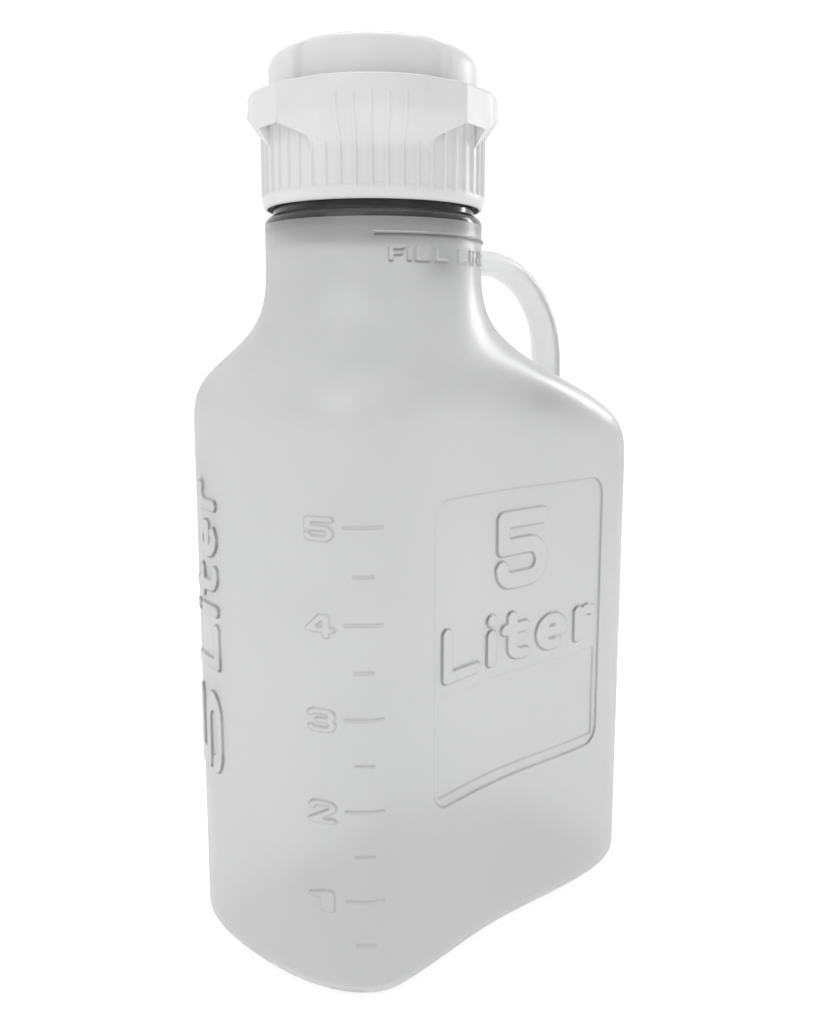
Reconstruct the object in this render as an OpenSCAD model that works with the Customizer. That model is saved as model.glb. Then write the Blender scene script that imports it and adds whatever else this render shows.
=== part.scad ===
// Five litre wide-mouth carrying bottle with a moulded grip loop and a screw closure.
// Millimetres. The bottle stands on z = 0, its rounded nose faces -Y, its grip faces +Y,
// and the origin is under the middle of its length and width.

/* [Bottle body] */
// Outer width across the two label panels
body_w = 128; // [116:1:140]
// Outer length from the nose to the back
body_l = 223; // [210:1:240]
// Wall thickness
wall = 2; // [1.5:0.1:3]
// How far back the rounded nose reaches
nose_d = 35; // [30:1:42]
// Squareness of the nose, where 2 is an ellipse
nose_exp = 2.3; // [2:0.1:3]
// How far forward the bowed back reaches
back_d = 61; // [50:1:66]
// Squareness of the back, where 2 is an ellipse
back_exp = 2.7; // [2:0.1:3.2]
// Depth of the shallow waist in each label panel
waist = 3.5; // [0:0.5:5]
// Radius of the rounded heel
heel_r = 7; // [5:0.5:10]
// Height of the push-up under the base
push_up = 3; // [1:0.5:5]

/* [Shoulder] */
// Height where the shoulder leaves a wall that overhangs the neck by ref_overhang
shoulder_z = 237; // [225:1:240]
// How much lower the shoulder starts for each millimetre of further overhang
shoulder_fall = 0.43; // [0.3:0.01:0.5]
// Height where the shoulder has become the round neck
neck_z = 310; // [306:1:312]

/* [Neck] */
// Outer diameter of the neck
neck_d = 98; // [94:1:98]
// Distance from the nose to the neck's axis
neck_setback = 77; // [72:1:84]
// Height of the neck's rounded top edge
neck_top = 332.5; // [328:0.5:333]
// Radius of that rounded edge
neck_edge_r = 4; // [2:0.5:4]
// Height of the mouth's rim
rim_z = 372; // [370:1:372]
// Bore of the mouth
mouth_d = 86; // [80:1:86]

/* [Thread] */
// Rise in one turn
pitch = 6; // [6:0.5:7]
// Turns of thread on the neck and in the collar
thread_turns = 1.5; // [1:0.25:1.5]
// Height of the tooth
tooth = 1.7; // [1.2:0.1:1.9]

/* [Grip loop] */
// Width of the grip from side to side
grip_w = 17; // [12:1:20]
// Thickness of the grip
grip_t = 12.5; // [10:0.5:14]
// Radius of the grip's bend
grip_bend = 52; // [46:1:54]
// Height of the middle of the grip's top run
grip_z = 316.5; // [312:0.5:318]

/* [Markings] */
// Height of the one litre mark
first_mark_z = 45; // [42:1:48]
// Rise for each litre
litre_rise = 40; // [38:0.5:42]
// Number of litre marks
litres = 5; // [1:1:5]
// How far the raised markings stand proud
proud = 0.6; // [0.4:0.1:1]
// Width of a raised line
line_w = 1.4; // [0.8:0.1:2]
// Height of the raised full line on the neck
full_z = 321.5; // [316:0.5:324]

/* [Closure] */
// Outer diameter of the collar's skirt over its ribs
skirt_d = 100; // [99.5:0.1:101]
// Height of the collar's lower rim
skirt_z = 335.5; // [333.5:0.5:336]
// Diameter over the collar's gripping wings
wing_d = 111; // [108:0.5:114]
// Height of the underside of the wings, at the top of each pocket
wing_z = 366.5; // [365:0.5:368]
// Height of the collar's top face
collar_top = 383; // [382:0.5:384]
// Ribs round the collar's skirt
ribs = 48; // [24:4:60]
// Height of the top of the closure's raised crown
crown_top = 403.5; // [402:0.5:407]
// Diameter of the crown between its lugs
crown_d = 86; // [80:1:88]
// Diameter over the crown's two lugs
lug_d = 92.4; // [90:0.1:93]

/* [Hidden] */
natural = [0.86, 0.87, 0.87, 0.6];
white = [0.95, 0.95, 0.95];

// Overhang beyond the neck that shoulder_z is given for
ref_overhang = 34;
// The shoulder's profile: a low first power squares its foot, a low second one its top
shoulder_foot = 3.1;
shoulder_head = 1.7;
shoulder_mix = 0.32;

nose_y = -body_l / 2;
neck_y = nose_y + neck_setback;
neck_r = neck_d / 2;
side_front = nose_y + nose_d;
side_back = body_l / 2 - back_d;
max_overhang = body_l - neck_setback - neck_r;
shoulder_low = shoulder_z - shoulder_fall * (max_overhang - ref_overhang);

// Points along the nose, a side panel and half of the back, and rings up the shoulder
nose_n = 14;
side_n = 10;
back_n = 16;
shoulder_n = 20;
heel_n = 4;

// Neck finish and closure fits
mouth_r = mouth_d / 2;
finish_r = 45.3;
collar_r = 47.6;
skirt_core_r = skirt_d / 2 - 0.8;
rib_w = 1;
skirt_band_z = skirt_z + 4;
skirt_rib_top = wing_z - 0.5;
pocket_z = 371.5;
pocket_r = 50.8;
collar_plate = 3.2;
collar_hole_r = lug_d / 2 + 0.7;
gasket_t = 2;
flange_z = rim_z + gasket_t;
flange_top = collar_top - collar_plate - 0.3;
flange_r = pocket_r - 0.6;
plug_r = mouth_r - 0.5;
plug_wall = 2.2;
plug_z = rim_z - 6;
crown_wall = 2.6;
crown_r = crown_d / 2;
crown_edge_r = 9;
lug_top = crown_top - 2.5;
lug_edge_r = 7;
// One of the four shields faces this way, which is 46 degrees from the nose
closure_turn = -44;
shield_half = 31;
shield_fall = 9.5;
lug_half = 42;
// The wings have a corner between each two shields, with a flat on either side of it
flat_turn = 11;
flat_r = wing_d / 2 * cos(flat_turn);
thread_base_z = 346;

// ---- Outline of the bottle, one half and then its mirror image ----

function nose_point(a) = [body_w / 2 * pow(sin(a), 2 / nose_exp),
                          side_front - nose_d * pow(cos(a), 2 / nose_exp)];
function panel_x(t) = body_w / 2 - waist * pow(sin(180 * t), 2);
function panel_point(t) = [panel_x(t), side_front + (side_back - side_front) * t];
function back_point(a) = [body_w / 2 * pow(cos(a), 2 / back_exp),
                          side_back + back_d * pow(sin(a), 2 / back_exp)];
function mirror_half(h) =
    concat(h, [for (i = [len(h) - 2:-1:1]) [-h[i].x, h[i].y]]);

outline = mirror_half(concat(
    [for (i = [0:nose_n - 1]) nose_point(90 * i / nose_n)],
    [for (i = [0:side_n - 1]) panel_point(i / side_n)],
    [for (i = [0:back_n]) back_point(90 * i / back_n)]));

function inset(o, d) = let (n = len(o)) [for (i = [0:n - 1])
    let (t = o[(i + 1) % n] - o[(i + n - 1) % n]) o[i] - d * [t.y, -t.x] / norm(t)];

// ---- Lofting ----

function rise(h) = h <= 0 ? 0 : h >= 1 ? 1 :
    let (foot = pow(h, shoulder_foot)) foot / (foot + shoulder_mix * pow(1 - h, shoulder_head));

// The outline at height z, drawn in to a circle of radius r towards the neck
function level(o, r, z) = [for (p = o)
    let (a = atan2(p.y - neck_y, p.x),
         n = [r * cos(a), neck_y + r * sin(a)],
         start = shoulder_z - shoulder_fall * (norm(p - n) - ref_overhang),
         q = n + (p - n) * (1 - rise((z - start) / (neck_z - start))))
    [q.x, q.y, z]];

function flat_ring(o, scale_by, z) = [for (p = o) [p.x * scale_by, p.y * scale_by, z]];

function heel_rings(o, r, z0) = [for (i = [0:heel_n])
    let (a = 90 * i / heel_n, z = z0 + r * (1 - cos(a)))
    [for (p = inset(o, r * (1 - sin(a)))) [p.x, p.y, z]]];

module loft(rings) {
    n = len(rings[0]);
    last = (len(rings) - 1) * n;
    sides = [for (i = [0:len(rings) - 2], j = [0:n - 1])
        let (k = (j + 1) % n, a = i * n, b = a + n) each [[a + j, b + j, b + k], [a + j, b + k, a + k]]];
    polyhedron(points = [for (r = rings) each r],
               faces = concat(sides, [[for (j = [0:n - 1]) j]], [[for (j = [n - 1:-1:0]) last + j]]));
}

// A closed bottle form, d inside the outer surface
module bottle_form(d, top) {
    o = inset(outline, d);
    z0 = d;
    step = (neck_z - shoulder_low) / shoulder_n;
    loft(concat([flat_ring(o, 0.62, z0 + push_up), flat_ring(o, 0.74, z0)],
                heel_rings(o, heel_r - d, z0),
                [for (i = [0:shoulder_n]) level(o, neck_r - d, shoulder_low + i * step)],
                top > neck_z ? [level(o, neck_r - d, top)] : []));
}

// ---- Bottle ----

module bottle_body() {
    color(natural) difference() {
        bottle_form(0, neck_z);
        bottle_form(wall, neck_z + 1);
    }
}

// A right-handed ridge between radii r0 and r1, w0 and w1 wide there
module thread_ridge(r0, r1, w0, w1, z0) {
    steps = 48 * thread_turns;
    up = sign(r1 - r0) / 2;
    section = [[r0, up * w0], [r1, up * w1], [r1, -up * w1], [r0, -up * w0]];
    loft([for (i = [0:steps])
        let (a = 360 * thread_turns * i / steps)
        [for (s = section) [s[0] * cos(a), s[0] * sin(a), z0 + s[1] + pitch * a / 360]]]);
}

module neck_finish() {
    color(natural) translate([0, neck_y, 0]) {
        rotate_extrude($fn = 96) polygon(concat(
            [[mouth_r, rim_z], [mouth_r, neck_top - 3], [neck_r - wall, neck_top - 7],
             [neck_r - wall, neck_z], [neck_r, neck_z]],
            [for (a = [0:15:75]) [neck_r - neck_edge_r + neck_edge_r * cos(a),
                                  neck_top - neck_edge_r + neck_edge_r * sin(a)]],
            [[finish_r, neck_top], [finish_r, rim_z - 0.8], [finish_r - 0.8, rim_z]]));
        thread_ridge(finish_r - 0.5, finish_r + tooth, 2.8, 1.4, thread_base_z);
    }
}

// The grip's middle line: out from the neck, round the bend, and down to the shoulder
grip_y = neck_y + neck_r + 28;
grip_line = concat([[neck_y + neck_r - 4, grip_z, 0]],
    [for (a = [0:7.5:90]) [grip_y + grip_bend * sin(a), grip_z - grip_bend * (1 - cos(a)), a]],
    [[grip_y + grip_bend, grip_z - grip_bend - 26, 90]]);

module grip_loop() {
    color(natural) difference() {
        loft([for (p = grip_line) [for (b = [0:15:345])
            let (side = grip_w / 2 * cos(b), up = grip_t / 2 * sin(b))
            [side, p[0] + up * sin(p[2]), p[1] + up * cos(p[2])]]]);
        bottle_form(0, neck_z);
        translate([0, neck_y, 0]) cylinder(r = neck_r, h = neck_top - neck_edge_r, $fn = 96);
    }
}

// ---- Raised markings ----

panel_front = -59.5;
panel_back = 59.5;
panel_low = 75;
panel_high = 212;
box_low = 80;
box_high = 125.5;
box_inset = 3.5;

// The outline's +X half, from the front to the back
right_half = [for (i = [0:nose_n + side_n + back_n]) outline[i]];

// x of the outer surface at a place along the bottle's length
function wall_x(y) = lookup(y, [for (p = right_half) [p.y, p.x]]);

// A raised patch on the +X wall from y0 to y1 and from z0 to z1, whose back lies on the wall
module wall_strip(y0, y1, z0, z1) {
    ys = concat([y0], [for (p = right_half) if (p.y > y0 && p.y < y1) p.y], [y1]);
    translate([0, 0, z0]) linear_extrude(z1 - z0) polygon(concat(
        [for (y = ys) [wall_x(y), y]],
        [for (i = [len(ys) - 1:-1:0]) [wall_x(ys[i]) + proud, ys[i]]]));
}

module wall_frame(y0, y1, z0, z1) {
    wall_strip(y0, y1, z0, z0 + line_w);
    wall_strip(y0, y1, z1 - line_w, z1);
    wall_strip(y0, y0 + line_w, z0 + line_w, z1 - line_w);
    wall_strip(y1 - line_w, y1, z0 + line_w, z1 - line_w);
}

module label_frames() {
    color(natural) for (side = [0, 1]) mirror([side, 0, 0]) {
        wall_frame(panel_front, panel_back, panel_low, panel_high);
        wall_frame(panel_front + box_inset, panel_back - box_inset, box_low, box_high);
    }
}

// Each litre has a long mark, with a short one half a litre below it
module graduation_marks() {
    color(natural) for (i = [0:litres - 1]) {
        z = first_mark_z + i * litre_rise;
        wall_strip(-100, -88, z - line_w / 2, z + line_w / 2);
        wall_strip(-97, -91, z - litre_rise / 2 - line_w / 2, z - litre_rise / 2 + line_w / 2);
    }
}

module full_line() {
    color(natural) translate([0, neck_y, full_z]) rotate([0, 0, -43])
        rotate_extrude(angle = 86, $fn = 96) translate([neck_r, -line_w / 2]) square([proud, line_w]);
}

// ---- Closure ----

module wing_plan() {
    intersection() {
        circle(d = wing_d, $fn = 128);
        rotate(45 - flat_turn) square(2 * flat_r, center = true);
        rotate(45 + flat_turn) square(2 * flat_r, center = true);
    }
}

// A shield flares from the skirt out to the wings
module shield(mid) {
    foot = wing_z - shield_fall;
    rotate([0, 0, mid - shield_half]) rotate_extrude(angle = 2 * shield_half, $fn = 96)
        polygon([[skirt_core_r - 1, foot - 1], [skirt_core_r, foot - 1],
                 [flat_r, wing_z], [skirt_core_r - 1, wing_z]]);
}

module cap_collar() {
    color(white) translate([0, neck_y, 0]) {
        rotate([0, 0, closure_turn]) {
            rotate_extrude($fn = 96) polygon([
                [collar_r, skirt_z], [skirt_core_r - 0.8, skirt_z], [skirt_d / 2, skirt_z + 3],
                [skirt_d / 2, skirt_band_z], [skirt_core_r, skirt_band_z + 0.8],
                [skirt_core_r, wing_z + 1], [collar_r, wing_z + 1]]);
            difference() {
                translate([0, 0, wing_z]) linear_extrude(collar_top - wing_z) wing_plan();
                translate([0, 0, wing_z - 1]) cylinder(r = collar_r, h = 30, $fn = 96);
                translate([0, 0, pocket_z])
                    cylinder(r = pocket_r, h = collar_top - collar_plate - pocket_z, $fn = 96);
                translate([0, 0, pocket_z]) cylinder(r = collar_hole_r, h = 30, $fn = 96);
            }
            for (i = [0:ribs - 1]) rotate([0, 0, i * 360 / ribs])
                translate([skirt_core_r - 0.5, -rib_w / 2, skirt_band_z])
                    cube([skirt_d / 2 - skirt_core_r + 0.5, rib_w, skirt_rib_top - skirt_band_z]);
            for (mid = [0:90:270]) shield(mid);
        }
        thread_ridge(collar_r + 0.4, collar_r - tooth, 2.4, 1.2, thread_base_z - pitch / 2);
    }
}

module cap_insert() {
    crown_corner = [crown_r - crown_edge_r, crown_top - crown_edge_r];
    lug_corner = [lug_d / 2 - lug_edge_r, lug_top - lug_edge_r];
    color(white) translate([0, neck_y, 0]) {
        rotate_extrude($fn = 96) polygon(concat(
            [[0, crown_top - crown_wall], [0, crown_top]],
            [for (a = [90:-15:0]) crown_corner + crown_edge_r * [cos(a), sin(a)]],
            [[crown_r, flange_top], [flange_r, flange_top], [flange_r, flange_z], [plug_r, flange_z],
             [plug_r, plug_z + 1], [plug_r - 1, plug_z], [plug_r - plug_wall, plug_z],
             [plug_r - plug_wall, crown_top - crown_edge_r - crown_wall],
             [plug_r - plug_wall - 4, crown_top - crown_wall]]));
        rotate([0, 0, closure_turn]) for (mid = [90, 270]) rotate([0, 0, mid - lug_half])
            rotate_extrude(angle = 2 * lug_half, $fn = 96) polygon(concat(
                [[crown_r - 1, flange_top - 1], [lug_d / 2, flange_top - 1]],
                [for (a = [0:22.5:90]) lug_corner + lug_edge_r * [cos(a), sin(a)]],
                [crown_corner + [4, crown_edge_r + lug_top - crown_top], crown_corner + [8, -1.5]]));
    }
}

module sealing_gasket() {
    color([0.9, 0.9, 0.88]) translate([0, neck_y, rim_z]) difference() {
        cylinder(r = collar_r - 0.4, h = gasket_t, $fn = 96);
        translate([0, 0, -1]) cylinder(r = plug_r + 0.15, h = gasket_t + 2, $fn = 96);
    }
}

bottle_body();
neck_finish();
grip_loop();
label_frames();
graduation_marks();
full_line();
cap_collar();
cap_insert();
sealing_gasket();
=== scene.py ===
"""Looks for the five litre carrying bottle: a frosted blow-moulded bottle with a grip loop, and a
white two-part screw closure with its gasket. Lengths in the functions below are millimetres in the
row frame; grid_object() turns them into metres. Driving sizes are read from the frame."""
import math

import bpy
import numpy as np
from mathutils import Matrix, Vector


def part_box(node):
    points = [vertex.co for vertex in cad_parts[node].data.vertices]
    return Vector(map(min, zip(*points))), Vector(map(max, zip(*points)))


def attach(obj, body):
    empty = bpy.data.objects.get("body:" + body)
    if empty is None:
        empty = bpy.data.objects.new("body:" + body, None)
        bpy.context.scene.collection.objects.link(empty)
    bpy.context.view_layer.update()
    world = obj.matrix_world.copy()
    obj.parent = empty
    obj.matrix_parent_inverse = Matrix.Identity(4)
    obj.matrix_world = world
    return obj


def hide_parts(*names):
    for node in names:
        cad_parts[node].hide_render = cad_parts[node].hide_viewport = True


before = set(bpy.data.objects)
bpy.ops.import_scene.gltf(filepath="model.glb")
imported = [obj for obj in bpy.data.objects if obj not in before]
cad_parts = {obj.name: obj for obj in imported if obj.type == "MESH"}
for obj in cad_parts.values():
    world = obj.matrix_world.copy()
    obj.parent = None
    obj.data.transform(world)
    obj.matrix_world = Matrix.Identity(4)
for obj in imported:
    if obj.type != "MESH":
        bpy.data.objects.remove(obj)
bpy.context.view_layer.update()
MM = 0.001
FAR, TINY = 1e9, 1e-12


def node_box(node):
    """Lowest and highest corner of a CAD node in millimetres."""
    low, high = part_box(node)
    return np.array(low) / MM, np.array(high) / MM


# ---- Sizes, from the frame ----

body_low, body_high = node_box("bottle_body")
neck_low, neck_high = node_box("neck_finish")
collar_low, collar_high = node_box("cap_collar")
insert_low, insert_high = node_box("cap_insert")
gasket_low, gasket_high = node_box("sealing_gasket")
grip_low, grip_high = node_box("grip_loop")
line_low, line_high = node_box("full_line")
frames_low, frames_high = node_box("label_frames")

HALF_W = body_high[0]
NOSE_Y, BACK_Y = body_low[1], body_high[1]
NECK_R = (neck_high[0] - neck_low[0]) / 2
NECK_Y = (neck_high[1] + neck_low[1]) / 2
NECK_Z, RIM_Z = neck_low[2], neck_high[2]
FULL_Z = (line_low[2] + line_high[2]) / 2
SKIRT_Z, COLLAR_TOP = collar_low[2], collar_high[2]
CROWN_TOP = insert_high[2]

# ---- Shape of the bottle, as in the CAD model ----

WALL = 2.0
# Depth of the rounded nose and back, and how square their curves are
NOSE_D, NOSE_EXP = 35.0, 2.3
BACK_D, BACK_EXP = 61.0, 2.7
WAIST = 3.5
HEEL_R = 7.0
PUSH_UP = 3.0
SHOULDER_Z, SHOULDER_FALL, REF_OVERHANG = 237.0, 0.43, 34.0
SHOULDER_FOOT, SHOULDER_HEAD, SHOULDER_MIX = 3.1, 1.7, 0.32
NECK_TOP, NECK_EDGE_R = 332.5, 4.0
FINISH_R, MOUTH_R = 45.3, 43.0
PITCH, TOOTH, THREAD_Z, THREAD_TURNS = 6.0, 1.7, 346.0, 1.5
FIRST_MARK_Z, LITRE_RISE, LITRES = 45.0, 40.0, 5

# ---- Outline of the bottle, measured along its arc from the tip of the nose ----


def half_outline(n=900):
    """Points of the +X half of the outline, from the nose's tip to the middle of the back."""
    side_front, side_back = NOSE_Y + NOSE_D, BACK_Y - BACK_D
    a = np.linspace(0, math.pi / 2, n)[:-1]
    nose = np.stack([HALF_W * np.sin(a) ** (2 / NOSE_EXP),
                     side_front - NOSE_D * np.cos(a) ** (2 / NOSE_EXP)], 1)
    t = np.linspace(0, 1, n)[:-1]
    panel = np.stack([HALF_W - WAIST * np.sin(math.pi * t) ** 2,
                      side_front + (side_back - side_front) * t], 1)
    a = np.linspace(0, math.pi / 2, n)
    back = np.stack([HALF_W * np.cos(a) ** (2 / BACK_EXP),
                     side_back + BACK_D * np.sin(a) ** (2 / BACK_EXP)], 1)
    points = np.concatenate([nose, panel, back])
    points[0, 0] = points[-1, 0] = 0
    return points


OUTLINE = half_outline()
ARC = np.concatenate([[0], np.cumsum(np.linalg.norm(np.diff(OUTLINE, axis=0), axis=1))])
HALF_ARC = ARC[-1]


def outline_at(s):
    """Place and outward normal of the outline at signed arc lengths s, negative on the -X side."""
    side = np.where(s < 0, -1.0, 1.0)
    run = np.clip(np.abs(s), 0, HALF_ARC)
    x, y = np.interp(run, ARC, OUTLINE[:, 0]), np.interp(run, ARC, OUTLINE[:, 1])
    step = 1.5  # The normal is taken across this much either way
    ahead, behind = np.clip(run + step, 0, HALF_ARC), np.clip(run - step, 0, HALF_ARC)
    tx = np.interp(ahead, ARC, OUTLINE[:, 0]) - np.interp(behind, ARC, OUTLINE[:, 0])
    ty = np.interp(ahead, ARC, OUTLINE[:, 1]) - np.interp(behind, ARC, OUTLINE[:, 1])
    at_end = (run < step) | (run > HALF_ARC - step)
    tx, ty = np.where(at_end, np.sign(ty + 1e-9) * np.abs(tx), tx), np.where(at_end, 0, ty)
    tx = np.where(run > HALF_ARC - step, -np.abs(tx), tx)
    size = np.hypot(tx, ty)
    return np.stack([side * x, y], 1), np.stack([side * ty / size, -tx / size], 1)


def arc_at_y(y):
    """Arc length on the +X panel where the outline passes y."""
    return float(np.interp(y, OUTLINE[:, 1], ARC))


# ---- Lettering: generic strokes on a unit-high body, with a round pen ----

PEN, LETTER_GAP = 0.22, 0.14
LETTER_PROUD, MARK_PROUD, BEVEL = 1.1, 0.8, 0.55


def bow(cx, cy, rx, ry, start, end, n=10):
    """Points along an elliptical arc, angles in degrees."""
    a = np.radians(np.linspace(start, end, n))
    return [(cx + rx * math.cos(t), cy + ry * math.sin(t)) for t in a]


# Each glyph is its width and its strokes' middle lines
GLYPHS = {
    "1": (0.46, [[(0.10, 0.72), (0.30, 0.89), (0.30, 0.11)]]),
    "2": (0.90, [[(0.12, 0.72)] + bow(0.30, 0.71, 0.16, 0.18, 175, 90, 5)
                 + bow(0.60, 0.71, 0.18, 0.18, 90, -60, 8) + [(0.12, 0.11), (0.79, 0.11)]]),
    "3": (0.90, [[(0.12, 0.78)] + bow(0.30, 0.76, 0.16, 0.13, 150, 90, 4)
                 + bow(0.62, 0.71, 0.16, 0.18, 90, -90, 8) + [(0.38, 0.52)],
                 [(0.62, 0.52)] + bow(0.62, 0.31, 0.17, 0.20, 90, -90, 8)
                 + bow(0.30, 0.24, 0.18, 0.13, 270, 200, 4)]),
    "4": (0.94, [[(0.66, 0.11), (0.66, 0.89), (0.50, 0.89), (0.11, 0.36), (0.84, 0.36)]]),
    "5": (0.92, [[(0.80, 0.89), (0.13, 0.89), (0.13, 0.54), (0.60, 0.54)]
                 + bow(0.60, 0.325, 0.20, 0.215, 90, -90, 9)
                 + bow(0.29, 0.27, 0.18, 0.16, 270, 180, 5)]),
    "L": (0.86, [[(0.11, 0.89), (0.11, 0.11), (0.76, 0.11)]]),
    "i": (0.22, [[(0.11, 0.11), (0.11, 0.60)], [(0.11, 0.87), (0.11, 0.89)]]),
    "t": (0.56, [[(0.20, 0.84), (0.20, 0.30)] + bow(0.38, 0.28, 0.18, 0.17, 180, 270, 5)
                 + [(0.48, 0.11)],
                 [(0.06, 0.62), (0.48, 0.62)]]),
    "e": (0.72, [[(0.13, 0.37), (0.60, 0.37)] + bow(0.36, 0.37, 0.24, 0.26, 8, 300, 22)]),
    "r": (0.50, [[(0.11, 0.11), (0.11, 0.62)],
                 [(0.11, 0.40)] + bow(0.34, 0.40, 0.22, 0.22, 170, 60, 8)]),
    "F": (0.74, [[(0.11, 0.11), (0.11, 0.89), (0.64, 0.89)], [(0.11, 0.52), (0.56, 0.52)]]),
    "I": (0.22, [[(0.11, 0.11), (0.11, 0.89)]]),
    "N": (0.86, [[(0.11, 0.11), (0.11, 0.89), (0.75, 0.11), (0.75, 0.89)]]),
    "E": (0.76, [[(0.66, 0.89), (0.11, 0.89), (0.11, 0.11), (0.66, 0.11)],
                 [(0.11, 0.51), (0.60, 0.51)]]),
    " ": (0.40, []),
}


def text_width(text):
    """Width of a line of text, for a body one unit high."""
    return sum(GLYPHS[c][0] for c in text) + LETTER_GAP * (len(text) - 1)


def stroke_distance(u, v, line):
    """Distance of points (u, v) from a polyline."""
    best = np.full(u.shape, FAR)
    for (ax, ay), (bx, by) in zip(line[:-1], line[1:]):
        dx, dy = bx - ax, by - ay
        t = np.clip(((u - ax) * dx + (v - ay) * dy) / max(dx * dx + dy * dy, TINY), 0, 1)
        best = np.minimum(best, np.hypot(u - ax - t * dx, v - ay - t * dy))
    return best


def soft_step(inside, bevel):
    """0 outside and 1 inside a shape, from the depth inside it, over a bevel that wide."""
    t = np.clip(inside / bevel + 0.5, 0, 1)
    return t * t * (3 - 2 * t)


def lettering(u, v, text, left, base, width, height, bevel=BEVEL):
    """Height map, 0 to 1, of text whose lower left corner is (left, base), width by height."""
    out = np.zeros(u.shape)
    reach = 3.0
    near = (u > left - reach) & (u < left + width + reach)
    near &= (v > base - reach) & (v < base + height + reach)
    if not near.any():
        return out
    across, up = width / text_width(text), height
    gu, gv = (u[near] - left) / across, (v[near] - base) / up
    best = np.full(gu.shape, FAR)
    start = 0.0
    for c in text:
        glyph_width, strokes = GLYPHS[c]
        for line in strokes:
            best = np.minimum(best, stroke_distance(gu - start, gv, line))
        start += glyph_width + LETTER_GAP
    out[near] = soft_step((PEN / 2 - best) * (across + up) / 2, bevel)
    return out


def round_box(u, v, low_u, high_u, low_v, high_v, radius):
    """Depth inside a rectangle with round corners."""
    du = np.abs(u - (low_u + high_u) / 2) - (high_u - low_u) / 2 + radius
    dv = np.abs(v - (low_v + high_v) / 2) - (high_v - low_v) / 2 + radius
    outside = np.hypot(np.maximum(du, 0), np.maximum(dv, 0))
    return radius - outside - np.minimum(np.maximum(du, dv), 0)


# ---- Relief on the bottle's wall and neck ----

# Label pad and the writing box in it, with their capacity: a figure over a word
PAD_LOW_S, PAD_HIGH_S = arc_at_y(frames_low[1]), arc_at_y(frames_high[1])
PAD_LOW_Z, PAD_HIGH_Z = frames_low[2], frames_high[2]
BOX_LOW_Z, BOX_HIGH_Z, BOX_INSET = 80.0, 125.5, 3.5
PAD_CORNER, PAD_DEPTH, BOX_CORNER, BOX_DEPTH = 9.0, 0.8, 0.6, 0.5
PAD_FIGURE_Z, PAD_FIGURE_OFFSET, PAD_FIGURE_W, PAD_FIGURE_H = 165.5, -17.0, 36.0, 36.5
PAD_WORD_Z, PAD_WORD_INSET, PAD_WORD_H = 131.0, 5.0, 25.0
# Litre marks and their figures
FIGURE_LEFT, FIGURE_W, FIGURE_H, FIGURE_DROP = 36.0, 13.5, 10.0, 1.0
MARK_LEFT, MARK_RIGHT, MARK_W, MARK_CORNER, HALF_MARK_INSET = 53.0, 69.5, 1.0, 0.4, 4.0
# Capacity that runs up the nose
SIDE_BASE, SIDE_H, SIDE_LOW_Z, SIDE_LENGTH = -20.0, 27.0, 81.0, 135.0
SIDE_FIGURE_W, SIDE_WORD_START = 40.0, 50.0
# Full line and its wording
LINE_HALF_DEG, LINE_HALF_W, LINE_CORNER, LINE_BEVEL = 43.0, 0.7, 0.4, 0.5
LINE_WORD_Z, LINE_WORD_H, LINE_WORD_INSET = 310.4, 6.2, 6.0


def panel_relief(u, z):
    """Recessed label pad, recessed writing box, and the capacity in raised letters."""
    pad = round_box(u, z, PAD_LOW_S, PAD_HIGH_S, PAD_LOW_Z, PAD_HIGH_Z, PAD_CORNER)
    box = round_box(u, z, PAD_LOW_S + BOX_INSET, PAD_HIGH_S - BOX_INSET, BOX_LOW_Z, BOX_HIGH_Z,
                    BOX_CORNER)
    figure_left = (PAD_LOW_S + PAD_HIGH_S) / 2 + PAD_FIGURE_OFFSET
    word_width = PAD_HIGH_S - PAD_LOW_S - 2 * PAD_WORD_INSET
    height = -PAD_DEPTH * soft_step(pad, BEVEL)
    height -= BOX_DEPTH * soft_step(box, BEVEL)
    height += LETTER_PROUD * lettering(u, z, "5", figure_left, PAD_FIGURE_Z,
                                       PAD_FIGURE_W, PAD_FIGURE_H)
    height += LETTER_PROUD * lettering(u, z, "Liter", PAD_LOW_S + PAD_WORD_INSET, PAD_WORD_Z,
                                       word_width, PAD_WORD_H)
    return height


def wall_relief(s, z):
    """Height of the outer wall's relief at arc length s and height z."""
    height = np.zeros(s.shape)
    margin = 3.0
    for side in (1, -1):
        u = s if side > 0 else s + PAD_LOW_S + PAD_HIGH_S
        on = (side * s > PAD_LOW_S - margin) & (side * s < PAD_HIGH_S + margin)
        height[on] += panel_relief(u[on], z[on])
    for litre in range(1, LITRES + 1):
        at = FIRST_MARK_Z + LITRE_RISE * (litre - 1)
        height += MARK_PROUD * lettering(s, z, str(litre), FIGURE_LEFT,
                                         at - FIGURE_H / 2 - FIGURE_DROP, FIGURE_W, FIGURE_H)
        # Each litre has a long mark, with a short one half a litre below it
        for middle, inset in ((at, 0), (at - LITRE_RISE / 2, HALF_MARK_INSET)):
            mark = round_box(s, z, MARK_LEFT + inset, MARK_RIGHT - inset, middle - MARK_W / 2,
                             middle + MARK_W / 2, MARK_CORNER)
            height += MARK_PROUD * soft_step(mark, BEVEL)
    word_length = SIDE_LENGTH - SIDE_WORD_START
    for text, start, length in (("5", 0, SIDE_FIGURE_W), ("Liter", SIDE_WORD_START, word_length)):
        height += LETTER_PROUD * lettering(z, -s, text, SIDE_LOW_Z + start, -SIDE_BASE,
                                           length, SIDE_H)
    return height


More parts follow.
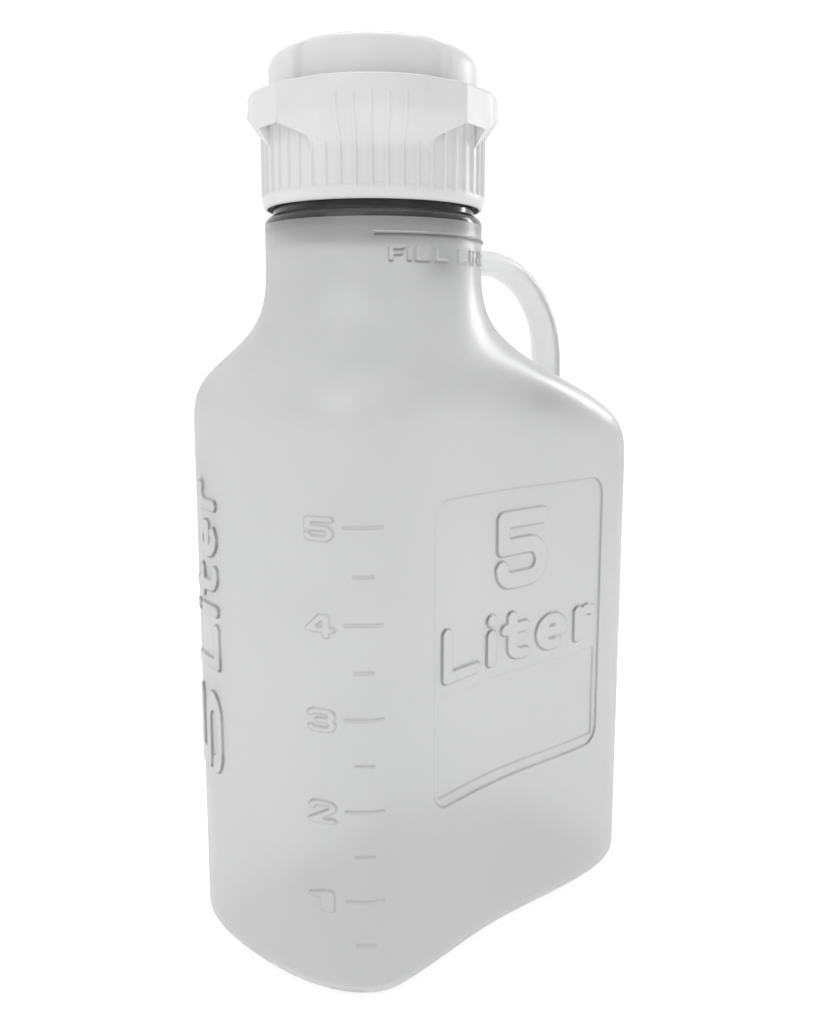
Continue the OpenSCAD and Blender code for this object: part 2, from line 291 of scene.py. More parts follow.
def neck_relief(angle, z):
    """Heights of the full line, and of it with its wording, by angle about the neck's axis from +X
    in degrees."""
    u = np.radians(angle) * NECK_R
    reach = math.radians(LINE_HALF_DEG) * NECK_R
    inside = round_box(u, z, -reach, reach, FULL_Z - LINE_HALF_W, FULL_Z + LINE_HALF_W, LINE_CORNER)
    line = MARK_PROUD * soft_step(inside, LINE_BEVEL)
    words = lettering(u, z, "FILL LINE", LINE_WORD_INSET - reach, LINE_WORD_Z,
                      2 * (reach - LINE_WORD_INSET), LINE_WORD_H, LINE_BEVEL)
    return line, line + MARK_PROUD * words


def thread_relief(angle, z, start_z, tooth, half_root=1.4, half_crest=0.7):
    """Radial height of a right-handed thread ridge that begins at angle 0 and height start_z, with
    half its width at its root and at its crest."""
    height = np.zeros(z.shape)
    turn = np.mod(angle, 360) / 360
    fade_turns = 0.04
    for k in range(int(THREAD_TURNS) + 1):
        run = turn + k
        off = np.abs(z - start_z - PITCH * run)
        ridge = np.clip((half_root - off) / (half_root - half_crest), 0, 1)
        fade = np.clip(np.minimum(run, THREAD_TURNS - run) / fade_turns, 0, 1)
        height = np.maximum(height, tooth * ridge * fade)
    return height


# ---- Mesh helpers ----


def grid_object(name, points, body, material, close_rows=False, poles=False):
    """Mesh from a grid of points, rows by columns by 3, whose columns always close on themselves.
    close_rows joins the last row to the first, and poles closes each end with one vertex."""
    rows, cols, _ = points.shape
    verts = points.reshape(-1, 3) * MM
    r, c = np.meshgrid(np.arange(rows if close_rows else rows - 1), np.arange(cols), indexing="ij")
    next_c, next_r = (c + 1) % cols, (r + 1) % rows
    quads = np.stack([r * cols + c, r * cols + next_c,
                      next_r * cols + next_c, next_r * cols + c], -1)
    faces = quads.reshape(-1, 4).tolist()
    if poles:
        first, last = len(verts), len(verts) + 1
        verts = np.concatenate([verts, [points[0].mean(0) * MM, points[-1].mean(0) * MM]])
        base = (rows - 1) * cols
        faces += [[first, (j + 1) % cols, j] for j in range(cols)]
        faces += [[last, base + j, base + (j + 1) % cols] for j in range(cols)]
    mesh = bpy.data.meshes.new(name)
    mesh.from_pydata(verts.tolist(), [], faces)
    mesh.polygons.foreach_set("use_smooth", [True] * len(mesh.polygons))
    mesh.materials.append(material)
    mesh.update()
    obj = bpy.data.objects.new(name, mesh)
    bpy.context.scene.collection.objects.link(obj)
    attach(obj, body)
    return obj


def spread(low, high, step):
    """Evenly spaced values from low up to but not including high, about step apart."""
    n = max(1, int(round((high - low) / step)))
    return list(np.linspace(low, high, n, endpoint=False))


def arc_points(cr, cz, radius, start, end, n):
    """(r, z) points along a circular arc, angles in degrees from +r towards +z."""
    a = np.radians(np.linspace(start, end, n))
    return [(cr + radius * math.cos(t), cz + radius * math.sin(t)) for t in a]


def revolve(path, cols):
    """Grid of points from (r, z) points turned about the neck's axis."""
    a = np.linspace(0, 2 * math.pi, cols, endpoint=False)
    r, z = np.array(path).T
    return np.stack([np.outer(r, np.cos(a)), NECK_Y + np.outer(r, np.sin(a)),
                     np.outer(z, np.ones(cols))], -1)


# ---- Bottle ----

# Spacing of the mesh: fine where there is relief
FINE_S, SIDE_STEP_S, BACK_STEP_S = 0.5, 3.0, 4.0
FINE_Z, SHOULDER_STEP_Z, NECK_STEP_Z, THREAD_STEP_Z = 0.5, 1.8, 0.45, 0.5
INNER_FINE_Z = 200.0
# Rows across the base, as shares of the way from its middle to the heel, and its push-up
BASE_SHARES = (0.04, 0.25, 0.45, 0.58, 0.63, 0.68, 0.73, 0.78, 0.86, 0.94)
PUSH_UP_EDGE, PUSH_UP_RUN = 0.58, 0.2
# Slopes of the relief between which the painted shade on its edges goes from none to full
SLOPE_FROM, SLOPE_RUN = 0.35, 1.1
# The band painted near-black as shade under the closure, from the neck's rounded edge to just
# inside the skirt
SHADE_BAND_LOW, SHADE_BAND_HIGH = NECK_TOP - NECK_EDGE_R + 0.3, SKIRT_Z + 2


def shoulder_rise(h):
    """How far the shoulder has gone from the wall, 0, to the neck, 1, at share h of its height."""
    h = np.clip(h, 0, 1)
    foot = h ** SHOULDER_FOOT
    return foot / (foot + SHOULDER_MIX * (1 - h) ** SHOULDER_HEAD + TINY)


def drawn_in(base, radius, z):
    """The outline's points at height z, drawn in towards the round neck."""
    angle = np.arctan2(base[:, 1] - NECK_Y, base[:, 0])
    neck = np.stack([radius * np.cos(angle), NECK_Y + radius * np.sin(angle)], 1)
    over = np.linalg.norm(base - neck, axis=1)
    start = SHOULDER_Z - SHOULDER_FALL * (over - REF_OVERHANG)
    rest = 1 - shoulder_rise((z - start) / (NECK_Z - start))
    return neck + (base - neck) * rest[:, None]


def bottle_columns():
    """Arc lengths of the bottle's columns: close together where there is relief."""
    margin = 2.0
    starts = [(-HALF_ARC, BACK_STEP_S), (-PAD_HIGH_S - margin, FINE_S),
              (-PAD_LOW_S + margin, SIDE_STEP_S), (SIDE_BASE - SIDE_H - margin, FINE_S),
              (SIDE_BASE + margin, SIDE_STEP_S), (FIGURE_LEFT - margin, FINE_S),
              (MARK_RIGHT + margin, FINE_S), (PAD_HIGH_S + margin, BACK_STEP_S)]
    ends = [low for low, _ in starts[1:]] + [HALF_ARC]
    return np.concatenate([spread(low, high, step) for (low, step), high in zip(starts, ends)])


def shell_rows(base, normal, inside, up_to_neck):
    """Rows of a bottle surface from the middle of its base to the neck, inside by that much."""
    outline = base - normal * inside
    heel = HEEL_R - inside
    floor = outline - normal * heel
    rows = []

    def row(plan, z):
        rows.append(np.column_stack([plan, np.full(len(plan), z)]))

    for share in BASE_SHARES:
        rise = 1 - shoulder_rise((share - PUSH_UP_EDGE) / PUSH_UP_RUN)
        row(floor * share, inside + PUSH_UP * rise)
    for a in np.radians(np.linspace(0, 90, 9)):
        row(outline - normal * heel * (1 - math.sin(a)), inside + heel * (1 - math.cos(a)))
    for z in up_to_neck:
        row(drawn_in(outline, NECK_R - inside, z), z)
    return rows


def bottle(material, painted_shade_material):
    """The bottle's one moulding, outside and inside, with its relief. Its neck's rounded edge and
    the finish just under the skirt have a near-black material of their own, painted shade under the
    closure, and two attributes tell the other one where to paint shade on the relief's steep edges
    and the full line, and where the inside is."""
    s = bottle_columns()
    base, normal = outline_at(s)
    neck_angle = np.degrees(np.arctan2(base[:, 1] - NECK_Y, base[:, 0]))
    cos, sin = np.cos(np.radians(neck_angle)), np.sin(np.radians(neck_angle))

    def ring(radius, z):
        rows.append(np.column_stack([radius * cos, NECK_Y + radius * sin, np.full(len(s), z)]))

    fine_low, fine_high = FIRST_MARK_Z - LITRE_RISE / 2 - 3, PAD_HIGH_Z + 5
    heights = spread(HEEL_R + 2, fine_low, 4) + spread(fine_low, fine_high, FINE_Z)
    heights += spread(fine_high, NECK_Z - 1, SHOULDER_STEP_Z)
    rows = shell_rows(base, normal, 0, heights)
    relief = np.zeros((len(rows), len(s)))
    for i, row in enumerate(rows):
        if fine_low - 1 < row[0, 2] < fine_high:
            relief[i] = wall_relief(s, row[:, 2])
            row[:, :2] += normal * relief[i][:, None]
    on_neck = []
    painted_line_shade = []
    for z in spread(NECK_Z - 1, FULL_Z + 2, NECK_STEP_Z) + [NECK_TOP - NECK_EDGE_R]:
        line, marks = neck_relief(neck_angle, np.full(len(s), z))
        on_neck.append(marks)
        painted_line_shade.append(line / MARK_PROUD)
        ring(NECK_R + marks, z)
    painted_line_shade = np.concatenate([np.zeros(relief.shape), painted_line_shade])
    relief = np.concatenate([relief, on_neck])
    for r, z in arc_points(NECK_R - NECK_EDGE_R, NECK_TOP - NECK_EDGE_R, NECK_EDGE_R, 12, 84, 7):
        ring(r, z)
    for z in [NECK_TOP] + spread(NECK_TOP + 0.8, THREAD_Z - 3, 3):
        ring(FINISH_R, z)
    for z in spread(THREAD_Z - 3, THREAD_Z + PITCH * THREAD_TURNS + 3, THREAD_STEP_Z):
        ring(FINISH_R + thread_relief(neck_angle, np.full(len(s), z), THREAD_Z, TOOTH), z)
    rows_outside = len(rows)
    for r, z in ((FINISH_R, RIM_Z - 8), (FINISH_R, RIM_Z - 1), (FINISH_R - 0.3, RIM_Z - 0.3),
                 (FINISH_R - 1, RIM_Z), (MOUTH_R + 0.7, RIM_Z), (MOUTH_R + 0.2, RIM_Z - 0.2),
                 (MOUTH_R, RIM_Z - 0.8), (MOUTH_R, RIM_Z - 20), (MOUTH_R, NECK_TOP - 2),
                 (MOUTH_R + 0.8, NECK_TOP - 4), (NECK_R - WALL - 0.8, NECK_TOP - 6),
                 (NECK_R - WALL, NECK_TOP - 8), (NECK_R - WALL, NECK_Z + 4)):
        ring(r, z)
    coarse = spread(HEEL_R + 2, INNER_FINE_Z, 24) + spread(INNER_FINE_Z, NECK_Z, 3)
    rows += shell_rows(base, normal, WALL, coarse)[::-1]
    obj = grid_object("bottle_moulding", np.array(rows), "bottle", material, poles=True)
    obj.data.materials.append(painted_shade_material)

    count = len(obj.data.vertices)
    slope = np.hypot(*np.gradient(relief)) / FINE_S
    painted_edge_shade, inner_side = np.zeros(count), np.zeros(count)
    # Painted shade: the relief's steep edges and the full line are marked for a darker base colour
    painted_edge_shade[:slope.size] = np.maximum(np.clip((slope - SLOPE_FROM) / SLOPE_RUN, 0, 1),
                                          painted_line_shade).ravel()
    inner_side[rows_outside * len(s) + 1:] = 1
    for name, values in (("painted_edge_shade", painted_edge_shade), ("inner_side", inner_side)):
        obj.data.attributes.new(name, "FLOAT", "POINT").data.foreach_set("value", values)
    # Painted shade: the outward faces in that band take the near-black second material
    axis = Vector((0, NECK_Y * MM, 0))
    for face in obj.data.polygons:
        outward = face.center - axis
        outward.z = 0
        if SHADE_BAND_LOW < face.center.z / MM < SHADE_BAND_HIGH and face.normal.dot(outward) > -1e-5:
            face.material_index = 1
    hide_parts("bottle_body", "neck_finish", "label_frames", "graduation_marks", "full_line")


GRIP_T, GRIP_BEND = 12.5, 52.0
# The grip's ends flare by this share, over about this length
FLARE, FLARE_LENGTH, FLARE_POWER = 0.45, 6.0, 1.6


def grip(material):
    """The grip loop: a rounded strap that flares a little into the neck and the shoulder."""
    width = grip_high[0] - grip_low[0]
    mid_z = grip_high[2] - GRIP_T / 2
    bend_y = grip_high[1] - GRIP_T / 2 - GRIP_BEND
    neck_wall_y, foot_z = NECK_Y + NECK_R, grip_low[2] + 1
    # Places along its middle line as y, z and the turn so far
    line = [(neck_wall_y - 1.5, mid_z, 0.0)]
    line += [(y, mid_z, 0.0) for y in np.linspace(neck_wall_y, bend_y, 12)[:-1]]
    line += [(bend_y + GRIP_BEND * math.sin(a), mid_z - GRIP_BEND * (1 - math.cos(a)), a)
             for a in np.linspace(0, math.pi / 2, 40)]
    line += [(bend_y + GRIP_BEND, z, math.pi / 2)
             for z in np.linspace(mid_z - GRIP_BEND, foot_z, 10)[1:]]
    places = np.array([(y, z) for y, z, _ in line])
    run = np.concatenate([[0], np.cumsum(np.linalg.norm(np.diff(places, axis=0), axis=1))])
    around = np.linspace(0, 2 * math.pi, 48, endpoint=False)
    rows = []
    for (y, z, turn), at in zip(line, run):
        end = min(at, run[-1] - at)
        flare = 1 + FLARE * math.exp(-(end / FLARE_LENGTH) ** FLARE_POWER)
        side, up = width / 2 * flare * np.cos(around), GRIP_T / 2 * flare * np.sin(around)
        rows.append(np.stack([-side, y + up * math.sin(turn), z + up * math.cos(turn)], 1))
    obj = grid_object("grip_strap", np.array(rows), "bottle", material, poles=True)
    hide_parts("grip_loop")


# ---- Closure ----

COLLAR_R, SKIRT_R, SKIRT_CORE_R = 47.6, 50.0, 49.2
# Angle from +X to the middle of a front wing
CLOSURE_TURN = -44.0
# The wings' outer radius and lower lip, and the flats on either side of each of their corners
WING_R, LIP_Z, FLAT_TURN = (collar_high[0] - collar_low[0]) / 2, 366.4, 11.0
# Front and back wings: half their angle, where they leave the skirt and become upright, and the
# height of their slanted lip's low end
SHIELD_HALF, SHIELD_FOOT_Z, SHIELD_TOP_Z, SLANT_Z = 31.0, 354.5, 371.5, 360.0
# Side wings: half their angle, and the flat chamfer under them
SIDE_HALF, CHAMFER_Z, CHAMFER_SLOPE = 29.0, 366.2, 0.75
# Ribs: their angle apart, half width, and rounding, and how they go on up the wings
RIB_STEP, RIB_HALF, RIB_SOFT = 7.5, 0.55, 0.45
WING_RIBS_HALF, FRONT_RIB, SIDE_RIB, WING_RIB_TOP = 2.3 * RIB_STEP, 0.45, 0.3, 376.0
COLLAR_EDGE_R, COLLAR_PLATE = 1.6, 3.2
POCKET_Z, POCKET_R = 371.5, 50.8
LUG_R, LUG_HALF, LUG_RAMP, LUG_TOP, LUG_EDGE_R = 46.2, 45.0, 4.5, CROWN_TOP - 2.5, 7.0
CROWN_R, CROWN_EDGE_R, CROWN_UPRIGHT_Z = 43.0, 9.0, 394.0
CROWN_WALL, PLUG_WALL = 2.6, 2.2


def collar_angles():
    """Column angles from a wing's middle, close together at ribs and at the wings' ends."""
    one_rib = np.array([-3.75, -2.4, -1.3, -0.85, -0.45, 0, 0.45, 0.85, 1.3, 2.4])
    angles = np.concatenate([one_rib + RIB_STEP * i for i in range(int(360 / RIB_STEP))])
    edges = [q * 90 + sign * (half + d) for q, half in enumerate((SHIELD_HALF, SIDE_HALF) * 2)
             for sign in (-1, 1) for d in (0.0, 0.35)]
    corners = [q * 90 + 45 + d for q in range(4) for d in (-1.5, 0, 1.5)]
    return np.unique(np.round(np.mod(np.concatenate([angles, edges, corners]), 360), 3))


def turned_row(rows, deg, radius, z):
    """Adds a row of points about the neck's axis, at angles from the closure's own zero."""
    turn = np.radians(deg + CLOSURE_TURN)
    rows.append(np.stack([radius * np.cos(turn), NECK_Y + radius * np.sin(turn),
                          z * np.ones(len(deg))], 1))


def collar(material):
    """The ribbed collar, its wings, the pocket for the insert's flange, and its inside thread."""
    deg = collar_angles()
    quarter = np.abs(np.mod(deg + 45, 90) - 45)
    cos_quarter = np.cos(np.radians(quarter))
    off_rib = np.abs(np.mod(deg + RIB_STEP / 2, RIB_STEP) - RIB_STEP / 2)
    rib = soft_step(1.15 - np.radians(off_rib) * SKIRT_R / RIB_HALF, RIB_SOFT)
    flat_r = WING_R * math.cos(math.radians(FLAT_TURN))
    band = np.minimum(WING_R, flat_r / np.cos(np.radians(quarter - (45 - FLAT_TURN))))
    skirt = SKIRT_CORE_R + (SKIRT_R + 0.15 - SKIRT_CORE_R) * rib

    # The wings at the front and back run down smoothly, and those at the sides have a chamfer
    side_wing = np.abs(np.mod(deg, 180) - 90) < 45
    on_wing = quarter <= np.where(side_wing, SIDE_HALF, SHIELD_HALF) + 0.01
    chamfer_foot = CHAMFER_Z - SKIRT_CORE_R * (1 - cos_quarter) / CHAMFER_SLOPE
    chamfer_top = CHAMFER_Z + (band * cos_quarter - SKIRT_CORE_R) / CHAMFER_SLOPE
    side_foot_z = np.where(on_wing, chamfer_foot, LIP_Z - 0.1)
    side_top_z = np.where(on_wing, np.maximum(chamfer_top, LIP_Z), LIP_Z)
    foot_z = np.where(side_wing, side_foot_z, SHIELD_FOOT_Z)
    top_z = np.where(side_wing, side_top_z, SHIELD_TOP_Z)
    slant = np.clip((quarter - SHIELD_HALF) / (45 - SHIELD_HALF), 0, 1)
    lip_z = np.where(side_wing, LIP_Z, SLANT_Z + (LIP_Z - SLANT_Z) * slant)
    low_z = np.where(on_wing, foot_z, lip_z)
    under_z = np.where(on_wing, foot_z - 0.2, lip_z + 2.5)
    wing_rib = np.where(quarter < WING_RIBS_HALF, rib, 0) * np.where(side_wing, SIDE_RIB, FRONT_RIB)
    wing_rib *= on_wing

    def outer(z):
        t = np.clip((z - foot_z) / (top_z - foot_z), 0, 1)
        share = np.where(side_wing, t, soft_step(t - 0.5, 1))
        wing = SKIRT_CORE_R + (band - SKIRT_CORE_R) * share + wing_rib
        return np.maximum(wing, np.where(on_wing, skirt, 0))

    rows = []

    def row(radius, z):
        turned_row(rows, deg, radius, z)

    for r, z in ((COLLAR_R, SKIRT_Z + 0.3), (COLLAR_R + 0.2, SKIRT_Z), (48.3, SKIRT_Z + 0.05),
                 (48.9, SKIRT_Z + 0.4), (49.4, SKIRT_Z + 1.2), (49.75, SKIRT_Z + 2.2),
                 (49.95, SKIRT_Z + 3.4), (SKIRT_R, SKIRT_Z + 4.6)):
        row(r, z)
    ribs_z = SKIRT_Z + 5.4
    row((SKIRT_R + skirt) / 2, ribs_z)
    for t in np.linspace(0.04, 1, 14):
        row(skirt, ribs_z + t * (under_z - ribs_z))
    row(np.where(on_wing, skirt, outer(lip_z) - 0.5), low_z + 0.1)
    for t in np.linspace(0.02, 1, 14):
        z = low_z + t * (top_z - low_z)
        row(outer(z), z)
    for t in np.linspace(0.1, 1, 6):
        row(band + wing_rib, top_z + t * (WING_RIB_TOP - 0.6 - top_z))
    row(band + wing_rib * 0.8, WING_RIB_TOP - 0.3)
    row(band + wing_rib * 0.2, WING_RIB_TOP + 0.3)
    edge_z = COLLAR_TOP - COLLAR_EDGE_R
    for z in np.linspace(WING_RIB_TOP + 1.2, edge_z, 4):
        row(band, z)
    for r, z in arc_points(-COLLAR_EDGE_R, edge_z, COLLAR_EDGE_R, 15, 90, 6):
        row(band + r, z)
    hole, plate_z = LUG_R + 0.7, COLLAR_TOP - COLLAR_PLATE
    for r, z in ((52.0, COLLAR_TOP), (49.5, COLLAR_TOP), (hole + 0.7, COLLAR_TOP),
                 (hole + 0.2, COLLAR_TOP - 0.2), (hole, COLLAR_TOP - 0.7), (hole, plate_z),
                 (POCKET_R, plate_z), (POCKET_R, POCKET_Z), (COLLAR_R, POCKET_Z)):
        row(r, z)
    for down in spread(-POCKET_Z + 1, -SKIRT_Z - 1, 0.8):
        tooth = thread_relief(deg + CLOSURE_TURN, np.full(len(deg), -down), THREAD_Z - PITCH / 2,
                              TOOTH, 1.2, 0.6)
        row(COLLAR_R - tooth, -down)
    obj = grid_object("collar", np.array(rows), "collar", material, close_rows=True)
    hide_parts("cap_collar")


def insert(material):
    """The crown with its two lugs, the flange under the collar's plate, and the hollow plug."""
    lug_ends = [90 * q + sign * (-LUG_HALF + d) for q in (1, 3) for sign in (-1, 1)
                for d in (0, -1, -2, -3, -4, 1, 2)]
    deg = np.unique(np.round(np.mod(np.concatenate([np.arange(0, 360, 2.5), lug_ends]), 360), 3))
    to_lug = np.abs(np.mod(deg, 180) - 90)
    lug = soft_step(LUG_HALF + 4 - to_lug - LUG_RAMP / 2, LUG_RAMP)
    flange_z, flange_top = gasket_high[2], COLLAR_TOP - COLLAR_PLATE - 0.3
    flange_r = POCKET_R - 0.6
    plug_r, plug_z = MOUTH_R - 0.5, insert_low[2]
    plug_in, crown_in_top = plug_r - PLUG_WALL, CROWN_TOP - CROWN_WALL
    # Outer profiles of the crown between its lugs and over them, with as many points
    steps = 12
    crown = [(CROWN_R, flange_top)]
    crown += [(CROWN_R, z) for z in np.linspace(flange_top + 3, CROWN_UPRIGHT_Z, 6)]
    crown += arc_points(CROWN_R - CROWN_EDGE_R, CROWN_TOP - CROWN_EDGE_R, CROWN_EDGE_R,
                        6, 90, steps)
    wide = [(LUG_R, flange_top)]
    wide += [(LUG_R, z) for z in np.linspace(flange_top + 3, LUG_TOP - LUG_EDGE_R - 0.5, 6)]
    wide += arc_points(LUG_R - LUG_EDGE_R, LUG_TOP - LUG_EDGE_R, LUG_EDGE_R, 6, 84, steps - 4)
    flat_r = CROWN_R - CROWN_EDGE_R
    wide += [(38.6, LUG_TOP + 0.3), (37.2, LUG_TOP + 1.2), (35.8, CROWN_TOP - 0.4),
             (flat_r, CROWN_TOP)]
    rows = []
    for r, z in ((1, crown_in_top), (18, crown_in_top), (36, crown_in_top),
                 (39, crown_in_top - 2.5), (plug_in, crown_in_top - 7), (plug_in, flange_z),
                 (plug_in, plug_z + 0.4), (plug_in + 0.5, plug_z), (plug_r - 1, plug_z),
                 (plug_r, plug_z + 1.2), (plug_r, flange_z - 0.2), (plug_r + 0.3, flange_z),
                 (flange_r - 0.6, flange_z), (flange_r, flange_z + 0.6),
                 (flange_r, flange_top - 0.6), (flange_r - 0.6, flange_top),
                 (LUG_R + 0.8, flange_top)):
        turned_row(rows, deg, r, z)
    for (r0, z0), (r1, z1) in zip(crown, wide):
        turned_row(rows, deg, r0 + (r1 - r0) * lug, z0 + (z1 - z0) * lug)
    for share in (0.8, 0.5, 0.2, 0.03):
        turned_row(rows, deg, flat_r * share, CROWN_TOP)
    obj = grid_object("crown_insert", np.array(rows), "insert", material, poles=True)
    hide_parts("cap_insert")


def gasket(material):
    """The flat sealing ring, with rounded edges."""
    outer, inner = gasket_high[0], MOUTH_R - 0.35
    low, high = gasket_low[2], gasket_high[2]
    soft = 0.5  # Radius of its edges
    path = [(inner, high - soft), (inner, low + soft)]
    path += arc_points(inner + soft, low + soft, soft, 200, 260, 4)
    path += arc_points(outer - soft, low + soft, soft, 280, 350, 4)
    path += arc_points(outer - soft, high - soft, soft, 10, 80, 4)
    path += arc_points(inner + soft, high - soft, soft, 100, 170, 4)
    obj = grid_object("seal_ring", revolve(path, 144), "insert", material, close_rows=True)
    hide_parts("sealing_gasket")


# ---- Materials ----


def new_material(name, color, **sockets):
    """A Principled material, its plain values set on the shader's own sockets, where _ in a name
    stands for a space."""
    mat = bpy.data.materials.new(name)
    mat.use_nodes = True
    shader = mat.node_tree.nodes["Principled BSDF"]
    shader.inputs["Base Color"].default_value = (*color, 1)
    for socket, value in sockets.items():
        shader.inputs[socket.replace("_", " ")].default_value = value
    return mat, shader


def add_noise(mat, scale, detail=3.0, rough=0.5):
    """A noise texture in object space, its scale in waves per metre."""
    nodes, links = mat.node_tree.nodes, mat.node_tree.links
    place = nodes.new("ShaderNodeTexCoord")
    noise = nodes.new("ShaderNodeTexNoise")
    noise.inputs["Scale"].default_value = scale
    noise.inputs["Detail"].default_value = detail
    noise.inputs["Roughness"].default_value = rough
    links.new(place.outputs["Object"], noise.inputs["Vector"])
    return noise


def ramp(mat, source, low, high, dark, light):
    """Colour ramp from dark to light between two values of a noise."""
    nodes, links = mat.node_tree.nodes, mat.node_tree.links
    node = nodes.new("ShaderNodeValToRGB")
    node.color_ramp.elements[0].position, node.color_ramp.elements[1].position = low, high
    node.color_ramp.elements[0].color, node.color_ramp.elements[1].color = (*dark, 1), (*light, 1)
    links.new(source, node.inputs["Fac"])
    return node.outputs["Color"]


def add_bump(mat, shader, noise, distance, strength):
    """Bumps from a noise, their height in metres."""
    nodes, links = mat.node_tree.nodes, mat.node_tree.links
    bump = nodes.new("ShaderNodeBump")
    bump.inputs["Distance"].default_value = distance
    bump.inputs["Strength"].default_value = strength
    links.new(noise.outputs["Fac"], bump.inputs["Height"])
    links.new(bump.outputs["Normal"], shader.inputs["Normal"])


def attribute(mat, name):
    """A number kept on the mesh's points."""
    node = mat.node_tree.nodes.new("ShaderNodeAttribute")
    node.attribute_name = name
    return node.outputs["Fac"]


def grey(value):
    """A neutral colour."""
    return (value, value, value)


def frosted_plastic():
    """Natural polypropylene: faintly cloudy, grained by the mould outside and smoother inside, with
    painted shade: darker along the steep edges of its relief and on the full line."""
    mat, shader = new_material("frosted_natural_plastic", grey(0.88), Roughness=0.3, IOR=1.45,
                               Transmission_Weight=0.76)
    nodes, links = mat.node_tree.nodes, mat.node_tree.links
    cloud = add_noise(mat, 14, 4)
    clear = ramp(mat, cloud.outputs["Fac"], 0.3, 0.7, (0.85, 0.855, 0.855), grey(0.88))
    # Painted shade: a dark base colour mixed in where the mesh marks the relief's edges and the
    # full line
    tone = nodes.new("ShaderNodeMix")
    tone.data_type = "RGBA"
    color_a, painted_shade_color, color_out = tone.inputs[6], tone.inputs[7], tone.outputs[2]
    links.new(attribute(mat, "painted_edge_shade"), tone.inputs["Factor"])
    links.new(clear, color_a)
    painted_shade_color.default_value = (*grey(0.26), 1)
    links.new(color_out, shader.inputs["Base Color"])
    patches = add_noise(mat, 30, 2)
    frosted = ramp(mat, patches.outputs["Fac"], 0.3, 0.7, grey(0.285), grey(0.33))
    gloss = nodes.new("ShaderNodeMix")
    links.new(attribute(mat, "inner_side"), gloss.inputs["Factor"])
    links.new(frosted, gloss.inputs["A"])
    gloss.inputs["B"].default_value = 0.1
    links.new(gloss.outputs["Result"], shader.inputs["Roughness"])
    add_bump(mat, shader, add_noise(mat, 1100, 2), 0.00012, 0.55)
    return mat


def neck_edge_plastic():
    """Near-black, polished, partly clear plastic on the bottle's neck edge under the closure:
    painted shade where the closure keeps the light out.
    """
    mat, shader = new_material("neck_edge_painted_shade", grey(0.05), Roughness=0.16, IOR=1.45,
                               Transmission_Weight=0.4)
    links = mat.node_tree.links
    cloud = add_noise(mat, 60, 3)
    links.new(ramp(mat, cloud.outputs["Fac"], 0.3, 0.7, grey(0.03), grey(0.07)),
              shader.inputs["Base Color"])
    add_bump(mat, shader, add_noise(mat, 1400, 2), 0.0001, 0.2)
    return mat


def white_plastic():
    """Injection-moulded white polypropylene with a fine satin texture."""
    mat, shader = new_material("white_moulded_plastic", grey(0.9), Roughness=0.38,
                               Subsurface_Weight=0.12, Subsurface_Radius=grey(0.004))
    links = mat.node_tree.links
    cloud = add_noise(mat, 40, 3)
    links.new(ramp(mat, cloud.outputs["Fac"], 0.3, 0.7, grey(0.72), grey(0.76)),
              shader.inputs["Base Color"])
    worn = add_noise(mat, 120, 4)
    links.new(ramp(mat, worn.outputs["Fac"], 0.35, 0.7, grey(0.33), grey(0.45)),
              shader.inputs["Roughness"])
    add_bump(mat, shader, add_noise(mat, 2200, 2), 0.00008, 0.25)
    return mat


def gasket_rubber():
    """Soft pale foam-backed rubber with a matt, slightly mottled face."""
    mat, shader = new_material("soft_gasket", (0.8, 0.8, 0.76), Roughness=0.8)
    links = mat.node_tree.links
    mottle = add_noise(mat, 300, 4)
    links.new(ramp(mat, mottle.outputs["Fac"], 0.3, 0.7, (0.7, 0.7, 0.66), (0.82, 0.82, 0.78)),
              shader.inputs["Base Color"])
    add_bump(mat, shader, mottle, 0.0001, 0.4)
    return mat


def floor_material():
    """A matt pale floor that glows a little, as if lit from below."""
    return new_material("studio_floor", grey(0.45), Roughness=0.9, Specular_IOR_Level=0.1,
                        Emission_Color=(1, 1, 1, 1), Emission_Strength=0.72)[0]


# ---- Camera, floor and light ----

CAMERA_PLACE = Vector((359.3, -370.8, 279.4)) * MM
CAMERA_AZIMUTH, CAMERA_DOWN = 45.0, 9.444
CAMERA_LENS, SENSOR_WIDTH = 36.91, 36.0
FLOOR_HALF = 6.0
AIM = Vector((0, NECK_Y, 200)) * MM
# Strength of the surroundings on the near side, on the far side, and overhead
NEAR_TONE, FAR_TONE, TOP_TONE = 0.42, 1.1, 1.0
FAR_WAY = (-0.88, 0.47, 0)


def make_camera():
    """The camera, halfway round from the nose to the +X side, looking a little down."""
    data = bpy.data.cameras.new("camera")
    data.lens, data.sensor_width = CAMERA_LENS, SENSOR_WIDTH
    camera = bpy.data.objects.new("camera", data)
    camera.location = CAMERA_PLACE
    camera.rotation_euler = (math.radians(90 - CAMERA_DOWN), 0, math.radians(CAMERA_AZIMUTH))
    bpy.context.scene.collection.objects.link(camera)
    bpy.context.scene.camera = camera


def make_floor():
    """The flat studio floor."""
    corners = [(x * FLOOR_HALF, y * FLOOR_HALF, 0) for x, y in ((-1, -1), (1, -1), (1, 1), (-1, 1))]
    mesh = bpy.data.meshes.new("floor")
    mesh.from_pydata(corners, [], [(0, 1, 2, 3)])
    mesh.materials.append(floor_material())
    floor = bpy.data.objects.new("floor", mesh)
    bpy.context.scene.collection.objects.link(floor)


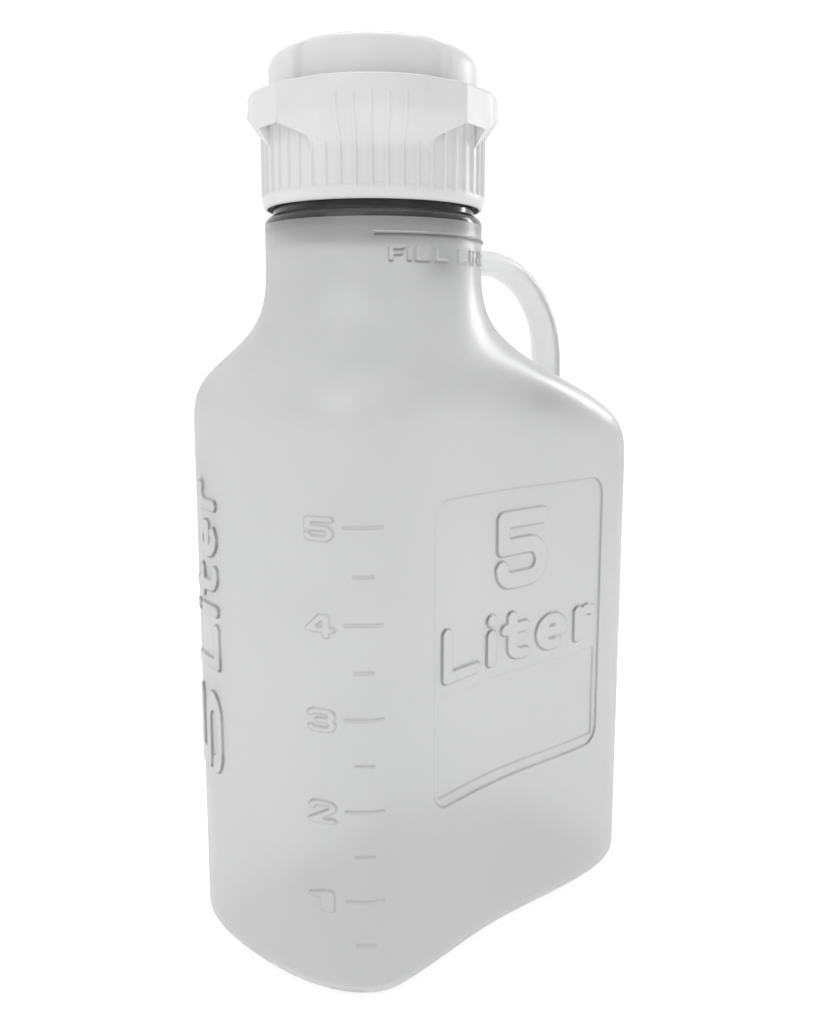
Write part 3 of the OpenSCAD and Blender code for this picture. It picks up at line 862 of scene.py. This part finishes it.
def softbox(name, azimuth, distance, height, size, power):
    """A soft area light that faces the bottle, at an azimuth in degrees from +X."""
    data = bpy.data.lights.new(name, "AREA")
    data.shape = "RECTANGLE"
    data.size, data.size_y = size
    data.energy = power
    light = bpy.data.objects.new(name, data)
    a = math.radians(azimuth)
    light.location = Vector((distance * math.cos(a), distance * math.sin(a), height))
    light.rotation_euler = (AIM - light.location).to_track_quat("-Z", "Y").to_euler()
    bpy.context.scene.collection.objects.link(light)


def studio_world():
    """Soft studio surroundings: bright overhead and on the far side, dimmer on the near side."""
    world = bpy.data.worlds.new("studio")
    world.use_nodes = True
    nodes, links = world.node_tree.nodes, world.node_tree.links
    place = nodes.new("ShaderNodeTexCoord")
    facing = nodes.new("ShaderNodeVectorMath")
    facing.operation = "DOT_PRODUCT"
    facing.inputs[1].default_value = FAR_WAY
    links.new(place.outputs["Generated"], facing.inputs[0])
    around = remap(nodes, links, facing.outputs["Value"], (-0.3, 0.75), (NEAR_TONE, FAR_TONE))
    parts = nodes.new("ShaderNodeSeparateXYZ")
    links.new(place.outputs["Generated"], parts.inputs[0])
    upward = remap(nodes, links, parts.outputs["Z"], (0.25, 0.95), (0, 1))
    blend = nodes.new("ShaderNodeMix")
    links.new(upward, blend.inputs["Factor"])
    links.new(around, blend.inputs["A"])
    blend.inputs["B"].default_value = TOP_TONE
    links.new(blend.outputs["Result"], nodes["Background"].inputs["Strength"])
    nodes["Background"].inputs["Color"].default_value = (1, 1, 1, 1)
    bpy.context.scene.world = world


def remap(nodes, links, source, given, wanted):
    """Smooth step of a value from one range to another."""
    node = nodes.new("ShaderNodeMapRange")
    node.interpolation_type = "SMOOTHSTEP"
    links.new(source, node.inputs["Value"])
    for socket, value in zip(("From Min", "From Max", "To Min", "To Max"), given + wanted):
        node.inputs[socket].default_value = value
    return node.outputs["Result"]


def make_light():
    """Soft surroundings, a narrow strip for the shoulder's highlight, and two large softboxes."""
    studio_world()
    bpy.context.scene.view_settings.view_transform = "Standard"
    softbox("strip_back_right", 78, 1.0, 0.58, (0.12, 0.4), power=2.0)
    softbox("top_back", 135, 0.9, 2.0, (0.9, 0.4), power=6.0)
    softbox("key_front", -75, 1.6, 1.3, (1.2, 1.2), power=5.5)


make_camera()
make_floor()
make_light()
natural = frosted_plastic()
white = white_plastic()
bottle(natural, neck_edge_plastic())
grip(natural)
collar(white)
insert(white)
gasket(gasket_rubber())
